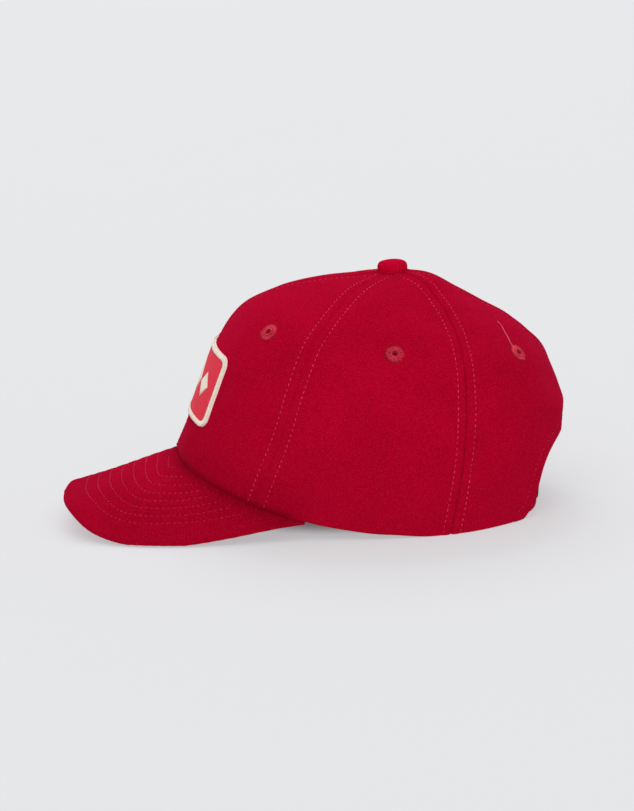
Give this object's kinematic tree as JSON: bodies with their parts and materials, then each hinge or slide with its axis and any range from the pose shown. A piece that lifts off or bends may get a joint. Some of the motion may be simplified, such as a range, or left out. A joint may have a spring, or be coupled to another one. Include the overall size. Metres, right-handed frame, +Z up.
{
  "type": "six-panel cap",
  "caption": "Red wool cap with stitched crown panels, a curved peak, a covered button, sewn eyelets, a bordered front patch and a strap across its back opening.",
  "frame": {"origin": "middle of the box that the cap fills, on the surface it stands on", "axes": "+Z up; the peak points along -Y and the back opening along +Y; the wearer's left is +X"},
  "size_m": [0.1742, 0.2744, 0.1361],
  "materials": {
    "red_wool": "matt brushed wool twill",
    "eyelet_thread": "satin embroidery thread",
    "patch_twill": "filled embroidery",
    "border_thread": "thick overlock thread",
    "dark_metal": "dark brushed metal"
  },
  "bodies": {
    "root": {"front_left_panel": "red_wool", "side_left_panel": "red_wool", "back_left_panel": "red_wool", "front_right_panel": "red_wool", "side_right_panel": "red_wool", "back_right_panel": "red_wool", "front_left_eyelet": "eyelet_thread", "side_left_eyelet": "eyelet_thread", "back_left_eyelet": "eyelet_thread", "front_right_eyelet": "eyelet_thread", "side_right_eyelet": "eyelet_thread", "back_right_eyelet": "eyelet_thread", "peak": "red_wool", "button": "red_wool", "patch": "patch_twill", "patch_border": "border_thread", "back_strap": "red_wool", "strap_slide": "dark_metal"}
  },
  "joints": []
}
